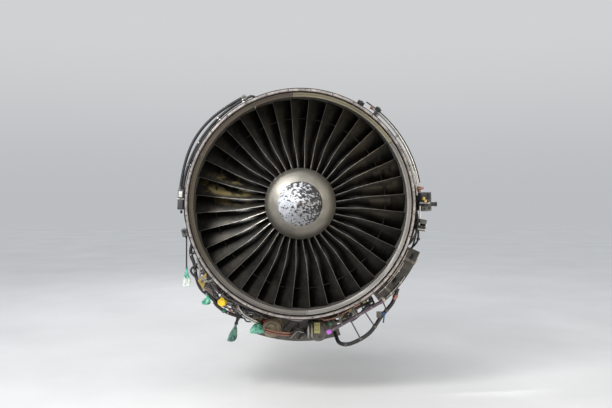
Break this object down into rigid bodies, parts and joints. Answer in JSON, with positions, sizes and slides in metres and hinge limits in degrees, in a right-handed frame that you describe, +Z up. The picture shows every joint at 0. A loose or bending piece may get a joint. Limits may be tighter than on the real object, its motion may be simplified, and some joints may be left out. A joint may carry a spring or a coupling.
{
  "type": "jet engine",
  "caption": "Two-spool turbofan without its cowls: bladed fan behind a pointed spinner, ring case with tubes and boxes, slim core and exhaust plug, hung by two mounts.",
  "frame": {"origin": "centre of the flat top of the forward mount", "axes": "+Y along the shaft line towards the exhaust, +Z up, +X to the right seen from the fan side"},
  "size_m": [2.0503, 3.055, 2.0915],
  "materials": {
    "accessory_gearbox": "cast grey alloy",
    "acoustic_panel_1": "satin olive acoustic face sheet",
    "acoustic_panel_2": "satin olive acoustic face sheet",
    "acoustic_panel_3": "satin olive acoustic face sheet",
    "acoustic_panel_4": "satin olive acoustic face sheet",
    "acoustic_panel_5": "satin olive acoustic face sheet",
    "acoustic_panel_6": "satin olive acoustic face sheet",
    "actuator_rod": "machined steel",
    "aft_mount": "machined steel",
    "air_duct": "black",
    "air_port": "cast grey alloy",
    "air_port_cap": "yellow",
    "air_starter": "cast grey alloy",
    "air_valve": "cast grey alloy",
    "booster_case": "cast grey alloy",
    "booster_rotor": "bare machined metal",
    "combustor_case": "heat-tinted alloy",
    "combustor_liner": "heat-tinted alloy",
    "compressor_case": "bare machined metal",
    "compressor_rotor": "bare machined metal",
    "connector_bracket": "cast grey alloy",
    "core_ball_bearing": "machined steel",
    "core_turbine_rotor": "heat-tinted alloy",
    "drain_tube": "bare machined metal",
    "engine_control_unit": "black",
    "exhaust_plug": "heat-tinted alloy",
    "fan_frame": "cast grey alloy",
    "fan_inlet_case": "anodised grey, slightly worn",
    "fan_rotor": "dark satin titanium, lighter worn leading edges",
    "forward_mount": "machined steel",
    "front_ball_bearing": "machined steel",
    "front_bearing_support": "cast grey alloy",
    "front_roller_bearing": "machined steel",
    "fuel_manifold": "machined steel",
    "fuel_pump": "cast grey alloy",
    "generator": "bare machined metal",
    "harness_inner": "black sleeve",
    "harness_outer": "black sleeve",
    "horizontal_drive_shaft": "machined steel",
    "ignition_box": "cast grey alloy",
    "intershaft_bearing": "machined steel",
    "lead_pouch": "thin green film",
    "left_lead": "black sleeve",
    "lower_left_hose": "black sleeve",
    "lp_shaft": "machined steel",
    "lp_turbine_rotor": "heat-tinted alloy",
    "oil_filler_cap": "bare machined metal",
    "oil_tank": "dark grey paint",
    "outlet_guide_vanes": "cast grey alloy",
    "radial_drive_shaft": "machined steel",
    "rear_roller_bearing": "machined steel",
    "sensor_box": "cast grey alloy",
    "spinner_front_cone": "pale grey paint with many dark stone chips",
    "spinner_rear_cone": "bare satin aluminium",
    "supply_tube": "bare machined metal",
    "transfer_gearbox": "cast grey alloy",
    "turbine_case": "heat-tinted alloy",
    "turbine_rear_frame": "heat-tinted alloy",
    "unison_ring": "machined steel",
    "vane_actuator": "cast grey alloy"
  },
  "bodies": {
    "engine": {"accessory_gearbox": "accessory_gearbox", "acoustic_panel_1": "acoustic_panel_1", "acoustic_panel_2": "acoustic_panel_2", "acoustic_panel_3": "acoustic_panel_3", "acoustic_panel_4": "acoustic_panel_4", "acoustic_panel_5": "acoustic_panel_5", "acoustic_panel_6": "acoustic_panel_6", "aft_mount": "aft_mount", "air_duct": "air_duct", "air_port": "air_port", "air_port_cap": "air_port_cap", "air_starter": "air_starter", "air_valve": "air_valve", "booster_case": "booster_case", "combustor_case": "combustor_case", "combustor_liner": "combustor_liner", "compressor_case": "compressor_case", "connector_bracket": "connector_bracket", "core_ball_bearing": "core_ball_bearing", "drain_tube": "drain_tube", "engine_control_unit": "engine_control_unit", "exhaust_plug": "exhaust_plug", "fan_frame": "fan_frame", "fan_inlet_case": "fan_inlet_case", "forward_mount": "forward_mount", "front_ball_bearing": "front_ball_bearing", "front_bearing_support": "front_bearing_support", "front_roller_bearing": "front_roller_bearing", "fuel_manifold": "fuel_manifold", "fuel_pump": "fuel_pump", "generator": "generator", "harness_inner": "harness_inner", "harness_outer": "harness_outer", "ignition_box": "ignition_box", "lead_pouch": "lead_pouch", "left_lead": "left_lead", "lower_left_hose": "lower_left_hose", "oil_tank": "oil_tank", "outlet_guide_vanes": "outlet_guide_vanes", "rear_roller_bearing": "rear_roller_bearing", "sensor_box": "sensor_box", "supply_tube": "supply_tube", "transfer_gearbox": "transfer_gearbox", "turbine_case": "turbine_case", "turbine_rear_frame": "turbine_rear_frame", "vane_actuator": "vane_actuator"},
    "lp_spool": {"spinner_front_cone": "spinner_front_cone", "spinner_rear_cone": "spinner_rear_cone", "fan_rotor": "fan_rotor", "booster_rotor": "booster_rotor", "lp_shaft": "lp_shaft", "lp_turbine_rotor": "lp_turbine_rotor", "intershaft_bearing": "intershaft_bearing"},
    "core_spool": {"compressor_rotor": "compressor_rotor", "core_turbine_rotor": "core_turbine_rotor"},
    "radial_drive": {"radial_drive_shaft": "radial_drive_shaft"},
    "horizontal_drive": {"horizontal_drive_shaft": "horizontal_drive_shaft"},
    "oil_cap": {"oil_filler_cap": "oil_filler_cap"},
    "vane_ring": {"unison_ring": "unison_ring"},
    "vane_rod": {"actuator_rod": "actuator_rod"}
  },
  "joints": [
    {"name": "lp_spin", "type": "hinge", "parent": "engine", "child": "lp_spool", "pos_m": [0, 0, -0.5], "axis": [0, 1, 0], "continuous": true},
    {"name": "core_spin", "type": "hinge", "parent": "engine", "child": "core_spool", "pos_m": [0, 0, -0.5], "axis": [0, 1, 0], "continuous": true},
    {"name": "radial_drive_spin", "type": "hinge", "parent": "engine", "child": "radial_drive", "pos_m": [0, -0.1986, -0.5], "axis": [0, 0, 1], "continuous": true},
    {"name": "horizontal_drive_spin", "type": "hinge", "parent": "engine", "child": "horizontal_drive", "pos_m": [0, 0, -1.5425], "axis": [0, 1, 0], "continuous": true},
    {"name": "oil_cap_turn", "type": "hinge", "parent": "engine", "child": "oil_cap", "pos_m": [0.94152, -0.8686, -0.95161], "axis": [0.9016, 0, -0.4325], "range_deg": [0, 90]},
    {"name": "vane_ring_turn", "type": "hinge", "parent": "engine", "child": "vane_ring", "pos_m": [0, 0, -0.5], "axis": [0, 1, 0], "range_deg": [-2.3, 2.3]},
    {"name": "vane_rod_slide", "type": "slide", "parent": "engine", "child": "vane_rod", "axis": [0, 0, 1], "range_m": [-0.016, 0.016]}
  ],
  "couplings": [
    {"joint": "radial_drive_spin", "follows": "core_spin", "ratio": 1},
    {"joint": "horizontal_drive_spin", "follows": "core_spin", "ratio": 1},
    {"joint": "vane_rod_slide", "follows": "vane_ring_turn", "m_per_rad": -0.38533}
  ]
}
